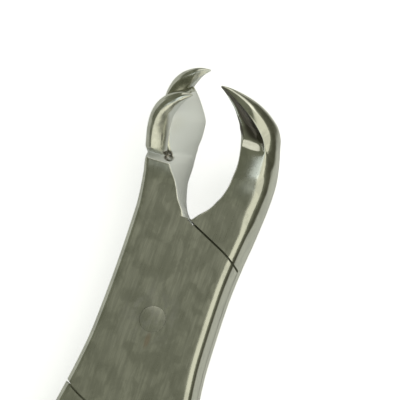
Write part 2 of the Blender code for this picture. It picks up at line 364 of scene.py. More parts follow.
@dataclass(frozen=True)
class LapJoint:
    """The box joint in which the halves cross, each cut to one layer."""

    thickness: float = 9.0 * MM
    left: float = 8.5 * MM
    right: float = 8.8 * MM
    edge_radius: float = 1.3 * MM
    crown: float = 0.25 * MM
    gap: float = 0.30 * MM
    shoulder_angle: float = math.radians(25.6)
    jaw_shoulder: float = 14.5 * MM
    grip_shoulder: float = 15.7 * MM
    jaw_flare: float = 0.65 * MM
    grip_flare: float = 2.1 * MM
    shoulder_arc: float = math.radians(40)
    arc_steps: int = 20
    reach: float = 30 * MM
    run_over: float = 5 * MM

    @property
    def middle(self) -> float:
        """Height of the plane in which the layers meet."""
        return self.thickness / 2

    @property
    def jaw_crotch(self) -> float:
        """The pin's axis to the crotch between the beaks."""
        return self.jaw_shoulder / math.cos(self.shoulder_angle)

    @property
    def grip_crotch(self) -> float:
        """The pin's axis to the crotch between the handles."""
        return self.grip_shoulder / math.cos(self.shoulder_angle)

    def box(
        self,
        low_x: float,
        high_x: float,
        y: float,
        radii: tuple[float, float] | None = None,
        half: float | None = None,
    ) -> Section:
        """A rounded rectangle with crowned sides.

        Args:
            low_x: Its left edge.
            high_x: Its right edge.
            y: Its place along the arm.
            radii: The rounding of its left and right corners, or None for the joint's own.
            half: Half its thickness, or None for the joint's own.

        Returns:
            The section.
        """
        reach = (high_x - low_x) / 2
        corner = reach - self.crown
        deep = self.middle if half is None else half
        left, right = radii or (self.edge_radius, self.edge_radius)
        centre = (low_x + high_x) / 2
        return Section(centre, y, 0, reach, reach, corner, corner, deep, deep, left, right, 0, 1, 1, 1)

    def sections(self) -> list[Section]:
        """The joint's sections, edge to edge, from its handle end to its beak end."""
        flare, jaw = self.grip_flare, self.jaw_flare
        low, high = -self.grip_crotch, self.jaw_crotch
        rows = (
            (low, flare, flare),
            (low * 0.6, flare * 0.45, flare * 0.45),
            (low * 0.2, flare * 0.1, flare * 0.1),
            (high * 0.4, 0.0, 0.0),
            (high * 0.8, jaw * 0.1, jaw * 0.5),
            (high, jaw * 0.25, jaw),
        )
        return [self.box(-self.left - a, self.right + b, y) for y, a, b in rows]

    def prism(self, name: str, corners: list[Vector], low: float, high: float) -> Piece:
        """A cutter with a flat outline, extruded along Z.

        Args:
            name: The cutter's name.
            corners: Its outline, in order.
            low: Height of its lower end.
            high: Height of its upper end.

        Returns:
            The cutter.
        """
        bm = bmesh.new()
        verts = [bm.verts.new((corner.x, corner.y, low)) for corner in corners]
        made = bmesh.ops.contextual_create(bm, geom=verts)
        grown = bmesh.ops.extrude_face_region(bm, geom=made["faces"])
        top = [item for item in grown["geom"] if isinstance(item, bmesh.types.BMVert)]
        bmesh.ops.translate(bm, verts=top, vec=(0, 0, high - low))
        bmesh.ops.recalc_face_normals(bm, faces=bm.faces)
        return new_object(name, bm)

    def shoulder(
        self, name: str, side: Side, end: End, draw_back: float, reach: float, layer: Layer | None
    ) -> Piece:
        """The region beyond one shoulder, as a cutter.

        It runs from the crotch along the shoulder to the foot of its perpendicular, and
        then round the pin, so that the other half's corner can turn past it.

        Args:
            name: The cutter's name.
            side: The side that it is on.
            end: The end of the joint that it is at.
            draw_back: How far it is drawn back from the pin.
            reach: How far out it runs.
            layer: The layer that it is as deep as, or None for both.

        Returns:
            The cutter.
        """
        distance = (self.jaw_shoulder if end is End.JAW else self.grip_shoulder) + draw_back
        foot = math.pi / 2 - self.shoulder_angle
        corners = [Vector((0.0, end.value * distance / math.cos(self.shoulder_angle)))]
        for step in range(self.arc_steps + 1):
            angle = foot - step / self.arc_steps * self.shoulder_arc
            corners.append(Vector((side.value * math.cos(angle), end.value * math.sin(angle))) * distance)
        corners.append(Vector((side.value * reach, corners[-1].y)))
        corners.append(Vector((side.value * reach, end.value * reach)))
        corners.append(Vector((0.0, end.value * reach)))
        deep = self.middle + 2 * self.run_over
        low = self.middle - (self.gap if layer is Layer.FRONT else deep)
        high = self.middle + (self.gap if layer is Layer.REAR else deep)
        return self.prism(name, corners, low, high)

    def cut(self, half: Piece, beak: Side, layer: Layer) -> list[Piece]:
        """Adds the cuts that take a blank to one layer at the joint.

        Args:
            half: The blank.
            beak: The side of its beak. Its handle is on the other side.
            layer: The layer that it keeps.

        Returns:
            The cutters, to be removed once the cuts are worked out.
        """
        share = self.gap / 2
        other = Side(-beak.value)
        cutters = []
        for end, side in ((End.JAW, other), (End.GRIP, beak)):
            name = f"{half.name}_clears_{end.name.lower()}"
            cutters.append(self.shoulder(name, side, end, -share, self.reach, layer))
            boolean(half, cutters[-1], "DIFFERENCE")
        reaches = (share, -self.middle - self.run_over)
        heights = sorted(self.middle + layer.value * reach for reach in reaches)
        corners = [Vector((x, y)) * self.reach for x, y in ((-1, -1), (1, -1), (1, 1), (-1, 1))]
        pocket = self.prism(f"{half.name}_pocket", corners, *heights)
        for end, side in ((End.JAW, beak), (End.GRIP, other)):
            name = f"{half.name}_keeps_{end.name.lower()}"
            cutters.append(self.shoulder(name, side, end, share, 2 * self.reach, None))
            boolean(pocket, cutters[-1], "DIFFERENCE")
        boolean(half, pocket, "DIFFERENCE")
        return [*cutters, pocket]


def boolean(piece: Piece, other: Piece, operation: str) -> None:
    """Adds an exact Boolean.

    Args:
        piece: The object that changes.
        other: The object that it is cut by or joined with.
        operation: DIFFERENCE or UNION.
    """
    modifier = piece.modifiers.new(f"{operation.lower()}_{other.name}", "BOOLEAN")
    modifier.object = other
    modifier.operation = operation
    modifier.solver = "EXACT"


def settle(piece: Piece, helpers: list[Piece]) -> None:
    """Works an object's modifiers into its mesh and removes its helpers.

    Args:
        piece: The object.
        helpers: The objects that its modifiers used.
    """
    graph = bpy.context.evaluated_depsgraph_get()
    mesh = bpy.data.meshes.new_from_object(piece.evaluated_get(graph))
    piece.modifiers.clear()
    piece.data = mesh
    for helper in helpers:
        bpy.data.objects.remove(helper, do_unlink=True)


# The pivot pin


@dataclass(frozen=True)
class PivotPin:
    """The riveted pin, ground flush with both faces."""

    joint: LapJoint
    radius: float = 2.0 * MM
    head_radius: float = 3.1 * MM
    head_depth: float = 1.1 * MM
    clearance: float = 0.022 * MM
    rim: float = 0.035 * MM
    merged: float = 0.001 * MM
    sharp: float = math.radians(20)
    level_from: tuple[float, float] = (0.9, 0.99)
    steps: int = 96

    def turned(self, name: str, grow: float, run_over: float) -> bmesh.types.BMesh:
        """The pin's outline spun about its axis.

        Args:
            name: What it is for, for the log.
            grow: How much wider it is made.
            run_over: How far it is run past both faces.

        Returns:
            The spun shape.
        """
        shaft, head = self.radius + grow, self.head_radius + grow
        low, high = -run_over, self.joint.thickness + run_over
        neck = self.head_depth + self.head_radius - self.radius
        profile = ((0, low), (head, low), (head, self.head_depth), (shaft, neck), (shaft, high), (0, high))
        bm = bmesh.new()
        verts = [bm.verts.new((radius, 0, height)) for radius, height in profile]
        edges = [bm.edges.new(pair) for pair in zip(verts, verts[1:])]
        bmesh.ops.spin(
            bm,
            geom=[*verts, *edges],
            cent=(0, 0, 0),
            axis=(0, 0, 1),
            angle=2 * math.pi,
            steps=self.steps,
            use_merge=True,
        )
        bmesh.ops.remove_doubles(bm, verts=bm.verts, dist=self.merged)
        bmesh.ops.recalc_face_normals(bm, faces=bm.faces)
        LOG.info("turned %s: %d faces", name, len(bm.faces))
        return bm

    def bore(self, name: str) -> Piece:
        """The pin with its clearance, as a cutter."""
        return new_object(name, self.turned(name, self.clearance, self.joint.run_over))

    def build(self) -> Piece:
        """The pin itself, with a fine break on its rims."""
        bm = self.turned("pin", 0.0, 0.0)
        rims = [edge for edge in bm.edges if self.on_rim(edge)]
        bmesh.ops.bevel(
            bm,
            geom=rims,
            offset=self.rim,
            offset_type="OFFSET",
            affect="EDGES",
            segments=3,
            profile=0.5,
            material=-1,
            clamp_overlap=True,
        )
        piece = new_object("pivot_pin_turned", bm)
        mark_seams(piece.data, self.sharp)
        mark_regions(piece.data, self.regions)
        return piece

    def regions(self, place: Vector, normal: Vector) -> Regions:
        """Which finish a place on the pin has: its ends are ground with the faces."""
        return Regions(smooth_step(*self.level_from, abs(normal.z)), 0.0, 0.0, 0.0)

    def on_rim(self, edge: bmesh.types.BMEdge) -> bool:
        """Whether an edge of the turned pin runs round one of its ends."""
        ends = [vert.co for vert in edge.verts]
        level = abs(ends[0].z - ends[1].z) < self.merged
        at_end = ends[0].z < self.merged or ends[0].z > self.joint.thickness - self.merged
        return level and at_end and min(end.xy.length for end in ends) > 0.5 * self.radius


def mark_seams(mesh: bpy.types.Mesh, angle: float) -> None:
    """Shades a mesh smooth except across its sharp edges.

    Args:
        mesh: The mesh.
        angle: The bend past which an edge is sharp.
    """
    bm = bmesh.new()
    bm.from_mesh(mesh)
    for face in bm.faces:
        face.smooth = True
    for edge in bm.edges:
        edge.smooth = len(edge.link_faces) == 2 and edge.calc_face_angle(0.0) < angle
    bm.to_mesh(mesh)
    bm.free()


# Beaks and handles


@dataclass(frozen=True)
class BeakBend:
    """The forward bend of the beaks, about an axis along X."""

    middle: float
    start: float = 20.0 * MM
    radius: float = 11.0 * MM
    angle: float = math.radians(45)

    def place(self, point: Vector) -> Vector:
        """Where a point of the flat forceps goes when the beaks are bent forward."""
        along = point.y - self.start
        if along <= 0:
            return point.copy()
        arc = self.radius * self.angle
        angle = min(along, arc) / self.radius
        rest = max(along - arc, 0.0)
        up = point.z - self.middle
        y = self.start + (self.radius - up) * math.sin(angle) + rest * math.cos(angle)
        z = self.middle + self.radius - (self.radius - up) * math.cos(angle) + rest * math.sin(angle)
        return Vector((point.x, y, z))


@dataclass(frozen=True)
class BeakLine:
    """Where the beaks end."""

    reach: float = 39.8 * MM
    tip_gap: float = 3.1 * MM
    tip_offset: float = 1.9 * MM

    def section(
        self,
        from_tip: float,
        sizes: tuple[float, ...],
        rear_share: float = 1.0,
        crowns: tuple[float, float] = (1, 1),
        scoop: float = 1.0,
    ) -> Section:
        """A section of a beak.

        Args:
            from_tip: Millimetres back from the tips.
            sizes: x, turn, left, right, corners, halves, corner radii, hollow, in millimetres.
            rear_share: What the radii are multiplied by on the rear.
            crowns: How rounded the left and right flanks are.
            scoop: How late the face rises to the right.

        Returns:
            The section, in metres.
        """
        x, turn, *rest = sizes
        lengths = [size * MM for size in rest]
        return Section(x * MM, self.reach - from_tip * MM, turn, *lengths, rear_share, *crowns, scoop)


@dataclass(frozen=True)
class PointedBeak:
    """The right beak: a shank, then a fluted claw with one point."""

    joint: LapJoint
    line: BeakLine
    left_crown: float = 0.4

    def sections(self) -> list[Section]:
        """The beak's sections, from the joint to its point."""
        joint = self.joint
        tip_x = (self.line.tip_gap / 2 - self.line.tip_offset) / MM
        outer = joint.right + joint.jaw_flare
        low = joint.jaw_crotch
        # from the tips: x, turn, left, right, corners, halves, radii, hollow, scoop, right crown
        claw = {
            14.2: (7.2, 0, 3.00, 3.00, 2.75, 2.72, 4.20, 4.20, 0.35, 2.00, -0.10, 1.0, 1.0),
            10.5: (7.2, 1, 2.85, 2.88, 2.40, 2.42, 3.40, 3.40, 0.30, 1.45, -0.14, 1.0, 1.3),
            8.6: (7.03, 3, 2.88, 2.90, 2.25, 2.10, 2.90, 3.02, 0.25, 0.80, -0.12, 1.0, 2.2),
            7.75: (6.9, 4, 2.90, 2.92, 2.20, 1.90, 2.56, 2.88, 0.22, 0.35, -0.06, 1.5, 2.8),
            7.45: (6.83, 5, 2.90, 2.92, 2.20, 1.84, 2.26, 2.82, 0.20, 0.20, 0.00, 4.0, 3.0),
            7.0: (6.72, 7, 2.90, 2.91, 2.23, 1.75, 1.50, 2.74, 0.17, 0.14, 0.00, 7.0, 3.0),
            6.65: (6.62, 8.5, 2.90, 2.90, 2.26, 1.72, 1.12, 2.66, 0.15, 0.12, 0.02, 4.0, 3.0),
            6.0: (6.4, 12, 2.88, 2.86, 2.28, 1.66, 0.86, 2.50, 0.14, 0.12, 0.06, 2.7, 3.0),
            4.5: (5.5, 25, 2.45, 2.48, 2.10, 1.32, 0.45, 2.16, 0.12, 0.11, 0.12, 2.1, 3.0),
            3.1: (4.3, 40, 2.00, 2.00, 1.75, 0.96, 0.36, 1.74, 0.11, 0.10, 0.14, 1.8, 2.6),
            2.0: (3.1, 53, 1.50, 1.47, 1.30, 0.62, 0.30, 1.26, 0.10, 0.09, 0.12, 1.7, 2.2),
            1.0: (1.6, 65, 0.95, 0.92, 0.80, 0.34, 0.24, 0.77, 0.08, 0.07, 0.10, 1.6, 1.8),
            0.4: (0.5, 73, 0.50, 0.50, 0.40, 0.20, 0.17, 0.40, 0.06, 0.05, 0.04, 1.2, 1.2),
            0.1: (tip_x, 80, 0.15, 0.15, 0.10, 0.08, 0.08, 0.12, 0.03, 0.03, 0.0, 1.0, 1.0),
        }
        claws = [
            self.line.section(from_tip, sizes, 1.0, (self.left_crown, crown), scoop)
            for from_tip, (*sizes, scoop, crown) in claw.items()
        ]
        return [
            joint.box(joint.gap / 2, outer, low + 0.1 * MM, (0.9 * MM, joint.edge_radius)),
            joint.box(1.15 * MM, outer + 0.14 * MM, low + 1.2 * MM, (0.4 * MM, 1.6 * MM)),
            joint.box(2.42 * MM, outer + 0.3 * MM, low + 2.6 * MM, (0.35 * MM, 2.0 * MM)),
            joint.box(3.12 * MM, outer + 0.4 * MM, low + 4.0 * MM, (0.35 * MM, 2.1 * MM)),
            joint.box(3.6 * MM, outer + 0.52 * MM, low + 5.6 * MM, (0.35 * MM, 2.2 * MM)),
            *claws,
        ]


@dataclass(frozen=True)
class HornedBeak:
    """The left beak: a stem that thins to a web, and two horns that stand on it."""

    joint: LapJoint
    line: BeakLine
    root_spread: float = 3.1 * MM
    tip_spread: float = 4.0 * MM
    flank_crown: float = 0.25
    rear_share: float = 0.25
    pocket_radius: float = 1.0 * MM
    pocket_x: float = -5.75 * MM
    pocket_from_tip: float = 12.8 * MM
    pocket_height: float = 3.9 * MM
    pocket_stretch: tuple[float, float, float] = (0.97, 1.2, 1.03)
    pocket_lean: tuple[float, float] = (math.radians(8), math.radians(13))
    spacing: float = 0.22 * MM

    def stem(self) -> list[Section]:
        """The stem's sections, from the joint to the end of the web."""
        joint = self.joint
        outer = -joint.left - joint.jaw_flare * 0.25
        low = joint.jaw_crotch
        # from the tips: x, turn, left, right, corners, halves, radii, hollow
        stem = {
            18.3: (-6.1, 0, 3.15, 3.30, 2.90, 2.50, 4.50, 4.50, 1.0, 0.25, 0),
            15.5: (-6.2, 0, 3.40, 3.55, 3.05, 1.35, 4.50, 4.50, 0.8, 0.22, 0),
            14.6: (-6.2, 0, 3.43, 3.57, 3.06, 1.00, 4.50, 4.50, 0.7, 0.22, 0),
            14.4: (-6.2, 0, 3.44, 3.57, 3.06, 0.92, 4.46, 4.46, 0.6, 0.22, 0),
            14.1: (-6.2, 0, 3.46, 3.58, 3.03, 0.82, 4.22, 4.22, 0.5, 0.24, 0),
            13.5: (-6.2, 0, 3.48, 3.60, 2.95, 0.70, 3.52, 3.52, 0.4, 0.3, 0),
            13.0: (-6.2, 0, 3.50, 3.61, 2.87, 0.58, 2.98, 2.98, 0.4, 0.3, 0),
            12.5: (-6.15, 0, 3.53, 3.64, 2.80, 0.40, 2.98, 2.98, 0.4, 0.3, 0.05),
            11.9: (-6.15, 0, 3.55, 3.66, 2.78, 0.28, 3.18, 3.18, 0.4, 0.3, 0.1),
            9.8: (-6.0, 0, 3.70, 3.90, 2.70, -0.40, 3.35, 3.35, 0.4, 0.3, 0),
            7.2: (-5.9, 0, 3.70, 4.00, 2.50, -0.70, 3.25, 3.25, 0.4, 0.3, 0),
            5.2: (-6.0, 0, 3.10, 3.50, 2.00, -0.60, 3.05, 3.05, 0.3, 0.3, 0),
            4.0: (-5.7, 0, 1.90, 2.65, 0.80, -0.30, 2.75, 2.75, 0.25, 0.2, 0),
            3.1: (-5.2, 0, 0.90, 1.65, 0.40, -0.20, 2.30, 2.30, 0.2, 0.15, 0),
            2.5: (-4.9, 0, 0.50, 0.95, 0.25, -0.10, 1.50, 1.50, 0.1, 0.1, 0),
            2.2: (-4.7, 0, 0.28, 0.45, 0.14, 0.05, 0.80, 0.80, 0.06, 0.06, 0),
        }
        return [
            joint.box(outer, -joint.gap / 2, low + 0.1 * MM, (joint.edge_radius, 0.9 * MM)),
            joint.box(outer - 0.1 * MM, -1.0 * MM, low + 1.2 * MM, (1.2 * MM, 0.4 * MM)),
            joint.box(outer - 0.25 * MM, -2.1 * MM, low + 2.6 * MM, (1.1 * MM, 0.35 * MM)),
            *(self.line.section(t, sizes, crowns=(1, self.flank_crown)) for t, sizes in stem.items()),
        ]

    def horn(self) -> list[Section]:
        """A horn's sections on the mid-plane, from inside the stem to its tip."""
        tip_x = (-self.line.tip_gap / 2 - self.line.tip_offset) / MM
        # from the tips: x, turn, left, right, corners, halves, radii, hollow
        spine = {
            14.4: (-7.9, 0, 1.00, 1.00, 0.70, 0.70, 0.30, 0.30, 0.4, 0.4, 0),
            13.3: (-8.0, 0, 1.50, 1.50, 1.15, 1.20, 0.24, 0.24, 0.2, 0.2, 0),
            12.7: (-8.05, 0, 1.62, 1.65, 1.22, 1.25, 0.62, 0.50, 0.4, 0.4, -0.02),
            12.0: (-8.1, 0, 1.70, 1.72, 1.30, 1.30, 1.36, 0.82, 0.8, 0.6, -0.04),
            11.3: (-8.1, 0, 1.70, 1.72, 1.30, 1.30, 1.62, 0.86, 0.9, 0.6, -0.05),
            8.5: (-8.15, 0, 1.70, 1.75, 1.30, 1.30, 1.66, 0.86, 0.9, 0.6, -0.05),
            6.3: (-7.95, -4, 1.70, 1.70, 1.30, 1.28, 1.66, 0.86, 0.9, 0.6, -0.05),
            4.5: (-7.5, -15, 1.60, 1.62, 1.20, 1.18, 1.56, 0.84, 0.8, 0.6, -0.05),
            3.1: (-6.75, -31, 1.40, 1.45, 1.00, 1.02, 1.30, 0.78, 0.7, 0.5, -0.04),
            1.95: (-5.75, -46, 1.05, 1.10, 0.75, 0.75, 0.90, 0.64, 0.6, 0.6, -0.05),
            1.0: (-4.6, -58, 0.60, 0.60, 0.40, 0.40, 0.50, 0.38, 0.3, 0.3, 0),
            0.43: (tip_x, -64, 0.12, 0.12, 0.07, 0.07, 0.11, 0.11, 0.05, 0.05, 0),
        }
        return [self.line.section(t, sizes, self.rear_share) for t, sizes in spine.items()]

    def horns(self, skin: Skin, name: str) -> list[Piece]:
        """Both horns, the rear one a mirror of the front one.

        Args:
            skin: What they are covered with.
            name: The name that theirs start with.

        Returns:
            The two horns.
        """
        sections = refine(self.horn(), self.spacing)
        spread = self.tip_spread - self.root_spread
        front = skin.cover(f"{name}_front_horn", sections, self.root_spread, spread)
        bm = bmesh.new()
        bm.from_mesh(front.data)
        for vert in bm.verts:
            vert.co.z = 2 * skin.middle - vert.co.z
        bmesh.ops.recalc_face_normals(bm, faces=bm.faces)
        return [front, new_object(f"{name}_rear_horn", bm)]

    def pocket_at(self, middle: float, layer: Layer) -> Vector:
        """The middle of the ground pocket beside one horn's root."""
        height = middle + layer.value * self.pocket_height
        return Vector((self.pocket_x, self.line.reach - self.pocket_from_tip, height))

    def pockets(self, middle: float, name: str) -> list[Piece]:
        """Small ground pockets beside the horns' roots, as cutters.

        Args:
            middle: Height of the mid-plane.
            name: The name that theirs start with.

        Returns:
            One cutter for each horn.
        """
        made = []
        for layer in Layer:
            bm = bmesh.new()
            about_x, about_z = self.pocket_lean
            lean = Matrix.Rotation(about_x, 4, "X") @ Matrix.Rotation(about_z, 4, "Z")
            stretch = Matrix.Diagonal((*self.pocket_stretch, 1.0))
            place = Matrix.Translation(self.pocket_at(middle, layer)) @ lean @ stretch
            bmesh.ops.create_icosphere(bm, subdivisions=4, radius=self.pocket_radius, matrix=place)
            made.append(new_object(f"{name}_{layer.name.lower()}_pocket", bm))
        return made


@dataclass(frozen=True)
class Handle:
    """A bowed handle with a rounded end."""

    joint: LapJoint
    length: float = 139.0 * MM
    width: float = 8.6 * MM
    bow: float = 10.3 * MM
    edge_radius: float = 1.7 * MM
    inset: float = 0.002 * MM
    grip_from: float = 58.0 * MM
    grip_to: float = 130.0 * MM
    groove_pitch: float = 2.0 * MM
    groove_depth: float = 0.24 * MM
    groove_steepness: float = 1.7
    grip_fade: float = 1.0 * MM
    outward_from: tuple[float, float] = (0.55, 0.8)
    spacing: float = 1.0 * MM

    def groove(self, place: Vector, outward: float) -> float:
        """How much of the depth of the grip's crossed grooves a place has.

        Args:
            place: The place on the flat forceps.
            outward: How much the surface there faces away from the other handle.

        Returns:
            0 outside the grip and on its points, 1 in the bottom of a groove.
        """
        low, high = -self.grip_to, -self.grip_from
        inside = smooth_step(low, low + self.grip_fade, place.y)
        inside *= 1 - smooth_step(high - self.grip_fade, high, place.y)
        runs = (place.y + place.z, place.y - place.z)
        waves = [abs((run / self.groove_pitch) % 1.0 - 0.5) * 2 for run in runs]
        depth = max(0.0, 1 - self.groove_steepness * min(waves))
        return inside * smooth_step(*self.outward_from, outward) * depth

    def sections(self, side: Side) -> list[Section]:
        """The handle's sections, from its end up to the joint.

        Args:
            side: The side that it is on.

        Returns:
            Sections in order along Y.
        """
        joint = self.joint
        edge = (joint.left if side is Side.LEFT else joint.right) + joint.grip_flare
        outer, end, top = self.bow + self.width - self.inset, -self.length, -joint.grip_crotch
        straight = 0.62 * end
        rows = (
            (end, self.bow + 1.1 * MM, outer - 4.9 * MM, 0.55),
            (end + 0.25 * MM, self.bow + 0.4 * MM, outer - 4.2 * MM, 0.68),
            (end + 1.0 * MM, self.bow - 0.4 * MM, outer - 3.4 * MM, 0.82),
            (end + 2.2 * MM, self.bow - 1.1 * MM, outer - 2.8 * MM, 0.94),
            (end + 4.0 * MM, self.bow - 1.6 * MM, outer - 2.4 * MM, 1.0),
            (end + 12.0 * MM, self.bow - 1.9 * MM, outer - 1.9 * MM, 1.0),
            (0.5 * (end + straight), self.bow - 0.8 * MM, outer - 0.7 * MM, 1.0),
            (straight, self.bow, outer, 1.0),
            (0.6 * straight + 0.4 * top, self.bow - 0.8 * MM, outer - 0.9 * MM, 1.0),
            (0.3 * straight + 0.7 * top, self.bow - 3.1 * MM, outer - 3.9 * MM, 1.0),
            (top - 13.0 * MM, 0.51 * self.bow, edge + 2.3 * MM, 1.0),
            (top - 7.0 * MM, 0.31 * self.bow, edge + 1.2 * MM, 1.0),
            (top - 2.5 * MM, 0.11 * self.bow, edge + 0.4 * MM, 1.0),
            (top - 0.1 * MM, joint.gap / 2, edge, 1.0),
        )
        made = []
        for y, near, far, thick in rows:
            low_x, high_x = sorted((side.value * near, side.value * far))
            radius = self.edge_radius * thick
            made.append(joint.box(low_x, high_x, y, (radius, radius), joint.middle * thick))
        return made


# Halves


@dataclass(frozen=True)
class Regions:
    """How much each finish counts at one place, from 0 to 1, and how much painted shade darkens its colour.
    """

    ground: float
    flank: float
    # Painted shade: how much the colour is darkened near-black to stand in for shade.
    painted_shade: float
    # Depth in the grip's grooves, which also paints their bottoms dark as painted shade.
    grip: float


def region_names() -> list[str]:
    """The names of the shares of the finishes and of the painted shade."""
    return [share.name for share in fields(Regions)]


def mark_regions(mesh: bpy.types.Mesh, regions: Callable[[Vector, Vector], Regions]) -> None:
    """Writes the flat place, the finishes' shares and the painted shade's share on a mesh.

    Args:
        mesh: The mesh, before any bend.
        regions: Gives the shares from a place and the surface's direction there.
    """
    names = region_names()
    mesh.attributes.new("flat_place", "FLOAT_VECTOR", "POINT")
    for name in names:
        mesh.attributes.new(name, "FLOAT", "CORNER")
    places = [number for vert in mesh.vertices for number in vert.co]
    mesh.attributes["flat_place"].data.foreach_set("vector", places)
    corners = zip(mesh.loops, mesh.corner_normals)
    shares = [
        astuple(regions(mesh.vertices[loop.vertex_index].co, normal.vector)) for loop, normal in corners
    ]
    for name, values in zip(names, zip(*shares)):
        mesh.attributes[name].data.foreach_set("value", values)


@dataclass
class Half:
    """One forged half: a handle, a layer of the joint, and the beak on the other side."""

    name: str
    node: str
    slot: str
    beak_side: Side
    layer: Layer
    joint: LapJoint
    pin: PivotPin
    line: BeakLine
    handle: Handle
    bend: BeakBend
    sharp: float = math.radians(34)
    level_from: tuple[float, float] = (0.93, 0.995)
    joint_spacing: float = 2.0 * MM
    beak_spacing: float = 0.22 * MM
    merged: float = 0.002 * MM
    grip_facing: float = 0.5
    grip_cuts: int = 2

    def beak_sections(self) -> list[Section]:
        """The beak's sections. Each kind of half gives its own."""
        raise NotImplementedError

    def regions(self, place: Vector, normal: Vector) -> Regions:
        """Which finish a place has, and how deep it lies in a groove of the grip, whose bottom is painted
        dark as painted shade.

        Args:
            place: The place on the flat half, before its beak is bent.
            normal: The surface's direction there.

        Returns:
            The share of each finish.
        """
        level = smooth_step(*self.level_from, abs(normal.z))
        # The grip share also darkens the grooves' bottoms in the colour, as painted shade.
        return Regions(level, 0.0, 0.0, self.handle.groove(place, self.outward(normal)))

    def outward(self, normal: Vector) -> float:
        """How much a surface of the handle faces away from the other handle."""
        return -self.beak_side.value * normal.x

    def blank(self) -> Piece:
        """The half before its lap is cut."""
        handle = refine(self.handle.sections(Side(-self.beak_side.value)), self.handle.spacing)
        middle = refine(self.joint.sections(), self.joint_spacing)
        beak = refine(self.beak_sections(), self.beak_spacing)
        return Skin(self.joint.middle).cover(self.name, [*handle, *middle, *beak])

    def build(self) -> Piece:
        """Makes the half, cut, bent and marked for its finish.

        Returns:
            The half.
        """
        piece = self.blank()
        helpers = self.add_details(piece)
        helpers += self.joint.cut(piece, self.beak_side, self.layer)
        helpers.append(self.pin.bore(f"{self.name}_bore"))
        boolean(piece, helpers[-1], "DIFFERENCE")
        settle(piece, helpers)
        self.tidy(piece.data)
        mark_regions(piece.data, self.regions)
        self.cut_grip(piece.data)
        for vert in piece.data.vertices:
            vert.co = self.bend.place(vert.co)
        return piece

    def cut_grip(self, mesh: bpy.types.Mesh) -> None:
        """Sinks the grip's crossed grooves into the handle's outer side.

        Args:
            mesh: The half's mesh, still flat.
        """
        inward = self.beak_side.value * self.handle.groove_depth
        shares = [self.handle.groove(vert.co, self.outward(vert.normal)) for vert in mesh.vertices]
        for vert, share in zip(mesh.vertices, shares):
            vert.co.x += inward * share

    def add_details(self, piece: Piece) -> list[Piece]:
        """Joins on what stands on the half. Returns the helpers."""
        return []

    def on_grip(self, edge: bmesh.types.BMEdge) -> bool:
        """Whether an edge runs lengthways on the grip's outer side.

        Args:
            edge: The edge.

        Returns:
            Whether it is one that the grooves need split.
        """
        ends = [vert.co for vert in edge.verts]
        outward = all(self.outward(vert.normal) > self.grip_facing for vert in edge.verts)
        lengthways = abs(ends[0].y - ends[1].y) > 2 * abs(ends[0].z - ends[1].z)
        inside = all(self.handle.grip_from < -end.y < self.handle.grip_to for end in ends)
        return outward and lengthways and inside

    def tidy(self, mesh: bpy.types.Mesh) -> None:
        """Merges doubles, gives the grip enough faces for its grooves, and splits large faces.

        Args:
            mesh: The half's mesh, still flat.
        """
        bm = bmesh.new()
        bm.from_mesh(mesh)
        bmesh.ops.remove_doubles(bm, verts=bm.verts, dist=self.merged)
        lengthways = [edge for edge in bm.edges if self.on_grip(edge)]
        bmesh.ops.subdivide_edges(bm, edges=lengthways, cuts=self.grip_cuts)
        bmesh.ops.triangulate(bm, faces=[face for face in bm.faces if len(face.verts) > 4])
        bm.to_mesh(mesh)
        bm.free()
        mark_seams(mesh, self.sharp)


@dataclass
class FrontHalf(Half):
    """The half with the horned left beak, the front layer and the right handle."""

    flank_from: tuple[float, float] = (15.2 * MM, 16.2 * MM)
    flank_inside: tuple[float, float] = (-6.9 * MM, -6.3 * MM)
    # The flank is the part facing right; its finish paints it lighter there as painted light.
    flank_facing: tuple[float, float] = (0.4, 0.55)
    stem_end: tuple[float, float] = (25.2 * MM, 25.8 * MM)
    lip_from: tuple[float, float] = (25.3 * MM, 25.6 * MM)
    lip_to: tuple[float, float] = (26.5 * MM, 26.8 * MM)
    lip_facing: tuple[float, float] = (0.3, 0.5)
    # The lip takes the flank's finish, which paints a highlight on its step.
    lip_share: float = 0.85
    pocket_rim: tuple[float, float] = (1.02, 1.2)
    # Painted shade: how dark the pockets beside the horns are painted.
    pocket_shade_share: float = 0.9

    @property
    def beak(self) -> HornedBeak:
        """Its beak."""
        return HornedBeak(self.joint, self.line)

    def beak_sections(self) -> list[Section]:
        """The stem's sections."""
        return self.beak.stem()

    def add_details(self, piece: Piece) -> list[Piece]:
        """Joins the horns to the stem and grinds the pockets beside them.

        Args:
            piece: The half.

        Returns:
            The horns and pockets, as helpers.
        """
        horns = self.beak.horns(Skin(self.joint.middle), self.name)
        for horn in horns:
            boolean(piece, horn, "UNION")
        pockets = self.beak.pockets(self.joint.middle, self.name)
        for pocket in pockets:
            boolean(piece, pocket, "DIFFERENCE")
        return [*horns, *pockets]

    def regions(self, place: Vector, normal: Vector) -> Regions:
        """Which finish a place has: the flank and the lip are satin and painted lighter as painted light,
        and the pockets get painted shade.

        Args:
            place: The place on the flat half, before its beak is bent.
            normal: The surface's direction there.

        Returns:
            The share of each finish.
        """
        base = super().regions(place, normal)
        beyond = smooth_step(*self.flank_from, place.y)
        facing = smooth_step(*self.flank_facing, normal.x)
        inner = smooth_step(*self.flank_inside, place.x)
        stem = 1 - smooth_step(*self.stem_end, place.y)
        away = min((place - self.beak.pocket_at(self.joint.middle, layer)).length for layer in Layer)
        rim = [share * self.beak.pocket_radius for share in self.pocket_rim]
        # Painted shade in the pockets, fading out towards their rim.
        pocket = 1 - smooth_step(*rim, away)
        lip = smooth_step(*self.lip_from, place.y) * (1 - smooth_step(*self.lip_to, place.y))
        lip *= smooth_step(*self.lip_facing, abs(normal.z))
        flank = max(beyond * facing * inner, self.lip_share * lip) * (1 - pocket)
        return replace(base, flank=flank, painted_shade=self.pocket_shade_share * pocket, ground=base.ground * stem)


